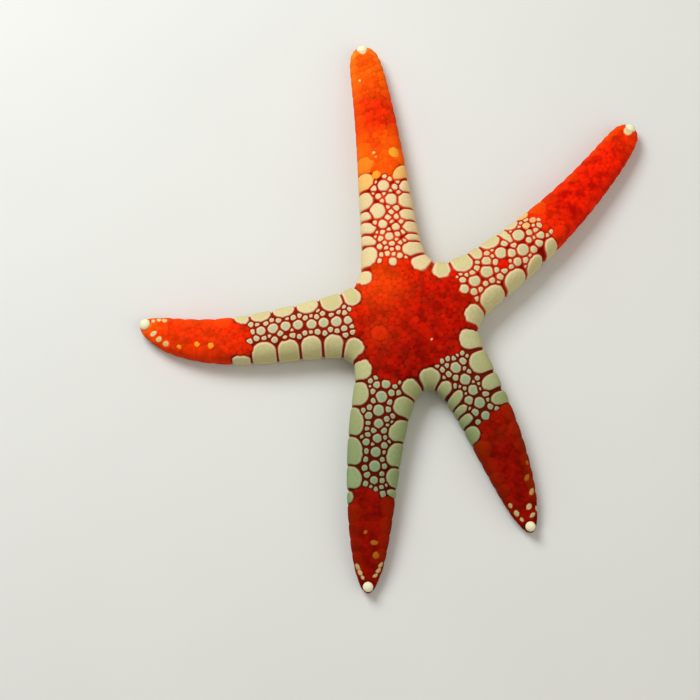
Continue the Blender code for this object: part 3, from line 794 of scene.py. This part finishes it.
class Graph:
    """A node material built by short calls."""

    def __init__(self, name, **shader):
        self.material = bpy.data.materials.new(name)
        self.material.use_nodes = True
        self.nodes, self.links = self.material.node_tree.nodes, self.material.node_tree.links
        self.shader = self.nodes["Principled BSDF"]
        for socket, value in shader.items():
            self.shader.inputs[socket.replace("_", " ")].default_value = value

    def node(self, kind, inputs=None, **settings):
        made = self.nodes.new(kind)
        for name, value in settings.items():
            setattr(made, name, value)
        for socket, value in (inputs or {}).items():
            self.feed(made.inputs[socket], value)
        return made

    def feed(self, socket, value):
        if isinstance(value, bpy.types.NodeSocket):
            self.links.new(value, socket)
        else:
            socket.default_value = value

    def attribute(self, name):
        return self.node("ShaderNodeAttribute", attribute_name=name).outputs["Fac"]

    def math(self, operation, *values):
        made = self.node("ShaderNodeMath", operation=operation)
        for socket, value in zip(made.inputs, values):
            self.feed(socket, value)
        return made.outputs[0]

    def times(self, one, two):
        return self.math("MULTIPLY", one, two)

    def ramp(self, value, low, high, to_low=0.0, to_high=1.0, smooth=True):
        made = self.node("ShaderNodeMapRange", {"Value": value, "From Min": low, "From Max": high,
                                                "To Min": to_low, "To Max": to_high})
        made.interpolation_type = "SMOOTHSTEP" if smooth else "LINEAR"
        return made.outputs["Result"]

    def mix(self, share, one, two, blend="MIX"):
        made = self.node("ShaderNodeMix", data_type="RGBA", blend_type=blend)
        for socket, value in (("Factor", share), ("A", one), ("B", two)):
            target = next(s for s in made.inputs if s.name == socket and s.enabled)
            self.feed(target, (*value, 1.0) if isinstance(value, tuple) else value)
        return next(s for s in made.outputs if s.enabled)

    def texture(self, kind, output, **inputs):
        place = self.node("ShaderNodeTexCoord").outputs["Object"]
        return self.node("ShaderNodeTex" + kind, {"Vector": place, **inputs}).outputs[output]

    def noise(self, scale, detail=2.0):
        return self.texture("Noise", "Fac", Scale=scale, Detail=detail)

    def granules(self):
        return self.texture("Voronoi", "Distance", Scale=5200.0)

    def finish(self, colour, grain):
        """Give the surface its colour, and the relief of its granules."""
        self.feed(self.shader.inputs["Base Color"], colour)
        relief = {"Height": grain, "Strength": 0.3, "Distance": 0.00005}
        bump = self.node("ShaderNodeBump", relief, invert=True)
        self.feed(self.shader.inputs["Normal"], bump.outputs["Normal"])
        return self.material


# What every vertex of the skin tells its material
LAYERS = ("edge", "inner", "small", "cream", "orange", "tint", "zone", "calm", "pore", "disc", "deep")


def skin_material():
    g = Graph("sea_star_skin", Roughness=0.7, IOR=1.35, Specular_IOR_Level=0.04)
    edge, inner, small, cream, orange, tint, zone, calm, pore, disc, deep = (
        g.attribute(name) for name in LAYERS)
    grain = g.granules()
    blotch = g.ramp(g.noise(560.0, 3.0), 0.33, 0.67)
    mottle = g.noise(1500.0, 2.0)
    tip_red = g.mix(blotch, (0.48, 0.001, 0.0), (1.0, 0.013, 0.001))
    disc_red = g.mix(blotch, (0.28, 0.0005, 0.0), (0.60, 0.003, 0.0))
    # Where painted light falls on the disc, disc is lower and the brighter tip red shows
    red = g.mix(disc, tip_red, disc_red)
    red = g.mix(g.times(tint, 0.25), red, (1.0, 0.018, 0.0))
    red = g.mix(g.math("MINIMUM", orange, 1.0), red, (0.95, 0.115, 0.002))
    red = g.mix(g.ramp(orange, 1.0, 2.0, smooth=False), red, (0.92, 0.46, 0.035))
    core = g.mix(tint, (0.58, 0.54, 0.25), (0.68, 0.64, 0.33))
    core = g.mix(g.ramp(mottle, 0.45, 0.62, 0.0, 0.5), core, (0.68, 0.50, 0.24))
    core = g.mix(g.times(small, zone), core, (0.48, 0.53, 0.34))
    peach = g.times(g.ramp(zone, 0.10, 0.25, 0.5, 0.0), g.ramp(calm, 0.0, 1.0, 1.0, 0.0))
    core = g.mix(peach, core, (0.90, 0.66, 0.36))
    rim = g.mix(g.ramp(inner, 0.0, 0.3), (0.60, 0.24, 0.10), (0.84, 0.66, 0.42))
    pale = g.mix(g.ramp(inner, 0.2, 0.75), rim, core)
    plate = g.mix(cream, red, pale)
    warm = g.mix(blotch, (0.50, 0.012, 0.001), (0.82, 0.055, 0.006))
    pit = g.mix(g.ramp(edge, -0.26, -0.14), (0.24, 0.002, 0.0), warm)
    seam = g.mix(zone, pit, (0.20, 0.010, 0.003))
    seam = g.mix(calm, seam, g.mix(0.10, red, (0.0, 0.0, 0.0)))
    colour = g.mix(g.ramp(edge, -0.05, 0.06), seam, plate)
    # Dark pores in places, strongest on the disc
    some = g.ramp(g.noise(1100.0, 1.0), 0.44, 0.52)
    dark_pore = g.times(g.times(g.ramp(pore, 0.05, 0.65), calm), some)
    dark_pore = g.times(dark_pore, g.ramp(disc, 0.3, 0.9, 0.3, 0.55))
    colour = g.mix(dark_pore, colour, (0.08, 0.001, 0.0))
    colour = g.mix(g.ramp(grain, 0.25, 0.75, 0.0, 0.12), colour, (0.25, 0.01, 0.0))
    # Painted shade: everything darkens towards one side, with cream turning greener there, and the brightest
    # plates darken least
    painted_shade_tint = g.mix(cream, (0.30, 0.22, 0.32), (0.39, 0.56, 0.50))
    bright = g.times(g.ramp(orange, 1.2, 1.7, 0.0, 0.5), g.ramp(cream, 0.0, 0.6, 0.3, 1.0))
    painted_shade_share = g.times(deep, g.math("SUBTRACT", 1.0, bright))
    return g.finish(g.mix(painted_shade_share, colour, painted_shade_tint, "MULTIPLY"), grain)


def plain_material(name, colour, dark, roughness):
    g = Graph(name, Roughness=roughness, IOR=1.4, Specular_IOR_Level=0.08)
    grain = g.granules()
    return g.finish(g.mix(g.times(g.noise(900.0), 0.6), colour, dark), grain)


# ---------------- pieces

def make_skin():
    points, quads = bare_skin()
    at = body(points[:, :2])
    tiles = Tiles(len(points))
    upper, gaps = lay_marginals(tiles, points, at)
    lay_groove_plates(tiles, points, at)
    plates = place_round(points, at, np.minimum(tiles.first, gaps), upper)
    lay_round(tiles, points, plates)
    dressed, edge, pore = dress(points, quads, at, tiles, upper)
    # The disc's deeper red gives way where the cream plates begin, and to the brighter tip red where painted
    # light falls on the disc
    disc = np.clip((per_arm(START, at) + 1 - at["s"]) / 2, 0, 1) * (1 - 0.7 * in_painted_light(points[:, :2]))
    # Painted shade: how far each vertex lies towards the darker side, kept in the deep layer
    deep = np.clip((PAINTED_SHADE_DIRECTION @ points[:, :2].T - PAINTED_SHADE_RANGE[0]) / (PAINTED_SHADE_RANGE[1] - PAINTED_SHADE_RANGE[0]), 0, 1)
    mesh = mesh_from("sea_star_skin", to_metres(dressed), quads)
    facts = dict(vars(tiles), edge=edge, inner=edge / np.clip(0.8 * tiles.size, 0.25, 0.65), pore=pore,
                 disc=disc, deep=deep * deep * (3 - 2 * deep))
    for name in LAYERS:
        layer = mesh.attributes.new(name, "FLOAT", "POINT")
        layer.data.foreach_set("value", facts[name].astype(np.float32))
    obj = add_object("sea_star_skin", mesh, skin_material())
    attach(obj, "root")
    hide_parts("disc", *[f"arm_{n}_{part}" for n in NAMES for part in ("base", "tip")])
    return obj


class Batch:
    """Points and faces of many small forms, gathered into one mesh."""

    def __init__(self):
        self.points, self.faces = [], []

    def add(self, rings):
        """One closed form through rings of equal length, capped at both ends."""
        rings = np.asarray(rings)
        count, around = rings.shape[:2]
        base = len(self.points)
        self.points.extend(rings.reshape(-1, 3).tolist())
        for i, j in itertools.product(range(count - 1), range(around)):
            one, two, n = base + i * around, base + (i + 1) * around, (j + 1) % around
            self.faces.append((one + j, one + n, two + n, two + j))
        self.faces.append(tuple(range(base + around - 1, base - 1, -1)))
        self.faces.append(tuple(range(base + (count - 1) * around, base + count * around)))

    def piece(self, name, material, slot, *nodes):
        mesh = bpy.data.meshes.new(name)
        mesh.from_pydata(to_metres(self.points).tolist(), [], self.faces)
        mesh.polygons.foreach_set("use_smooth", [len(f) == 4 for f in self.faces])
        mesh.update()
        shape = bmesh.new()
        shape.from_mesh(mesh)
        bmesh.ops.recalc_face_normals(shape, faces=shape.faces)
        shape.to_mesh(mesh)
        shape.free()
        obj = add_object(name, mesh, material)
        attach(obj, "root")
        if nodes:
            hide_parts(*nodes)
        return obj


def circle(count):
    angles = np.linspace(0, 2 * math.pi, count, endpoint=False)
    return np.cos(angles), np.sin(angles), angles


def stalk(path, radii, around=10):
    """Rings round a path."""
    path = np.asarray(path, float)
    along = np.gradient(path, axis=0)
    along /= np.linalg.norm(along, axis=1, keepdims=True)
    one = np.cross(along, (0.31, 0.95, 0.05))
    one /= np.linalg.norm(one, axis=1, keepdims=True)
    two = np.cross(along, one)
    c, n, _ = circle(around)
    spoke = one[:, None] * c[None, :, None] + two[:, None] * n[None, :, None]
    return path[:, None] + spoke * np.asarray(radii)[:, None, None]


def make_eye_plates():
    """The knob that ends each arm: a granular dome with a slot below for the last tube foot."""
    material = plain_material("eye_ivory", (0.86, 0.84, 0.60), (0.80, 0.66, 0.36), 0.5)
    c, n, angles = circle(40)
    for name, course in COURSES.items():
        batch = Batch()
        ahead = course.point(course.length, 0.0) - course.point(course.length - 1, 0.0)
        heading = math.atan2(ahead[1], ahead[0])
        rings = []
        for lift in np.radians(np.linspace(-89, 89, 26)):
            grain = 0.035 * np.sin(9 * angles + 4 * lift) * np.sin(13 * lift) * math.cos(lift)
            slot = 0.22 * np.exp(-((angles - heading + math.pi) % (2 * math.pi) - math.pi) ** 2 / 0.05)
            reach = KNOBS[name] + grain - slot * max(0.0, -math.sin(lift))
            ring = np.stack([c * reach * math.cos(lift), n * reach * math.cos(lift),
                             0.92 * reach * math.sin(lift)], axis=1)
            rings.append(ring + EYES[name])
        batch.add(rings)
        batch.piece(f"eye_knob_{name}", material, "eye_ivory", f"eye_plate_{name}")


def make_sieve():
    """The sieve plate: a low button with furrows that wind outwards from its middle."""
    material = plain_material("sieve_orange", (0.78, 0.034, 0.001), (0.42, 0.005, 0.0), 0.8)
    x, y, top = SIEVE_PLACE
    c, n, angles = circle(120)
    rings = []
    for share in (0.98, 1.0, 0.99, 0.95, 0.9, 0.84, 0.77, 0.7, 0.62, 0.54, 0.46, 0.38, 0.3, 0.22, 0.14,
                  0.06, 0.01):
        first = len(rings) == 0
        crest = top - 0.5 if first else top - 0.12 + 0.30 * (1 - share**3)
        ripple = np.sin(22 * angles + 7 * share + 0.8 * np.sin(3 * angles))
        ripple += 0.6 * np.sin(13 * angles - 9 * share)
        height = crest + (0 if first else 0.05) * ripple * min(1, 3 * share)
        radius = SIEVE_RADIUS * share
        rings.append(np.stack([x + c * radius, y + n * radius, np.broadcast_to(height, c.shape)], axis=1))
    batch = Batch()
    batch.add(rings)
    batch.piece("sieve_button", material, "sieve_orange", "sieve_plate")


def make_mouth():
    """Five pairs of jaws round the mouth, each with a few blunt spines that point inwards."""
    material = plain_material("mouth_buff", (0.62, 0.38, 0.20), (0.45, 0.20, 0.09), 0.6)
    outer = MOUTH_RADIUS - 0.3
    batch = Batch()
    profile = ((0.55, 0.0), (0.30, 0.1), (0.20, 0.45), (0.24, 0.8), (0.5, 1.0), (0.8, 0.85), (1.02, 0.5),
               (1.1, 0.15))
    for pair in range(5):
        middle = COURSES["a"].turn + math.radians(36) + pair * math.radians(72)
        for side in (-1, 1):
            rings = []
            for share in np.linspace(0, 1, 14):
                angle = middle + side * (0.035 + 0.50 * share)
                bulk = (1 - share**3) ** 0.5 * (1 - 0.35 * (1 - share) ** 6) + 0.02
                reach = 0.35 + 1.15 * (1 - share) ** 1.3
                rings.append([polar(outer - bulk * reach * bite, angle, 0.62 + (z - 0.62) * bulk)
                              for z, bite in profile])
            batch.add(rings)
            for k in range(3):
                angle = middle + side * (0.10 + 0.15 * k)
                inner, reach = outer - 1.15 + 0.33 * k, 0.62 - 0.1 * k
                path = [polar(inner - reach * u, angle, 0.5 - 0.22 * u) for u in (0, 0.35, 0.7, 0.92, 1.0)]
                batch.add(stalk(path, (0.15, 0.15, 0.13, 0.09, 0.03)))
    batch.piece("mouth_jaws_spined", material, "mouth_buff", "mouth_jaws")


def groove_wall(course, s, share):
    """A point of the groove at s, share of the way from its middle (0) to its bank (1)."""
    fade = course.narrowing(s)
    t = share * GROOVE_HALF * fade
    return course.point(s, t), GROOVE_DEEP * fade * (1 - share**2)


def path_between(one, two, steps):
    """A path from one plan point towards another, by steps of a share of the way and a height."""
    return [(*(one + (two - one) * share), z) for share, z in steps]


def make_feet_and_spines():
    """Two rows of sucker-tipped tube feet in each groove, and pairs of pegs along its banks."""
    feet, pegs = Batch(), Batch()
    for course in COURSES.values():
        for k in range(int((course.length - MOUTH_RADIUS - FEET_LEAVE) / FOOT_PITCH)):
            s = MOUTH_RADIUS + FEET_START + FOOT_PITCH * k
            fade = course.narrowing(s)
            for side in (-1, 1):
                root, roof = groove_wall(course, s, 0.42 * side)
                foot, _ = groove_wall(course, s + rng.uniform(-0.25, 0.25),
                                      (0.50 + 0.18 * rng.uniform()) * side)
                low = 0.05 + 0.35 * rng.uniform() ** 2
                tall = roof - low
                path = path_between(root, foot, (
                    (0, roof), (0.3, roof - 0.3 * tall), (0.7, roof - 0.65 * tall), (1, low + 0.14),
                    (1, low + 0.07), (1, low)))
                feet.add(stalk(path, np.array((0.30, 0.24, 0.20, 0.22, 0.32, 0.24)) * (0.55 + 0.45 * fade)))
                for step in (-0.25, 0.25):
                    bank, over = (groove_wall(course, s + step, share * side)[0] for share in (1.0, 0.62))
                    path = path_between(bank, over, ((-0.25, 0.34), (0.3, 0.22), (0.8, 0.14), (1.0, 0.12)))
                    pegs.add(stalk(path, np.array((0.16, 0.15, 0.12, 0.05)) * fade, 8))
    buff = plain_material("feet_buff", (0.70, 0.50, 0.30), (0.52, 0.30, 0.15), 0.45)
    feet.piece("tube_feet", buff, "mouth_buff")
    cream = plain_material("peg_cream", (0.74, 0.60, 0.36), (0.60, 0.36, 0.16), 0.55)
    pegs.piece("groove_pegs", cream, "tile_cream")


def make_stage():
    bpy.ops.mesh.primitive_plane_add(size=3.0, location=(0, 0, -0.00002))
    floor = bpy.context.object
    floor.name = "floor"
    g = Graph("floor_pale", Roughness=0.85)
    g.feed(g.shader.inputs["Base Color"], g.mix(g.noise(30.0), (0.66, 0.66, 0.64), (0.70, 0.70, 0.68)))
    floor.data.materials.append(g.material)


def light(name, place, size, power, colour):
    lamp = bpy.data.lights.new(name, "AREA")
    lamp.size, lamp.energy, lamp.color = size, power, colour
    obj = add_object(name, lamp)
    obj.location = place
    obj.rotation_euler = Vector(place).to_track_quat("Z", "Y").to_euler()


def make_lights():
    light("key", (-0.15, 0.17, 0.29), 0.18, 1.10, (0.97, 1.0, 1.0))
    light("fill", (0.40, -0.22, 0.45), 0.6, 1.05, (1.0, 0.93, 0.82))
    world = bpy.data.worlds.new("studio")
    bpy.context.scene.world = world
    world.use_nodes = True
    sky = world.node_tree.nodes["Background"].inputs
    sky["Color"].default_value = (1.0, 0.97, 0.91, 1.0)
    sky["Strength"].default_value = 0.40


def make_camera():
    """Seen from 75 degrees above the floor, the disc right of and a little above the middle."""
    tilt = math.radians(15.0)
    distance, to_right, to_top = 280.0, 11.0, 4.3
    right = Vector((1, 0, 0))
    up = Vector((0, math.cos(tilt), math.sin(tilt)))
    backwards = Vector((0, -math.sin(tilt), math.cos(tilt)))
    camera = bpy.data.cameras.new("camera")
    camera.lens, camera.sensor_width = 80.0, 36.0
    camera.clip_start, camera.clip_end = 0.01, 10.0
    obj = add_object("camera", camera)
    obj.location = (Vector((*CENTRE, 3.0)) + backwards * distance - right * to_right - up * to_top) * MM
    obj.rotation_euler = (tilt, 0, 0)
    bpy.context.scene.camera = obj


make_skin()
make_eye_plates()
make_sieve()
make_mouth()
make_feet_and_spines()
make_stage()
make_lights()
make_camera()
bpy.context.scene.view_settings.view_transform = "Standard"
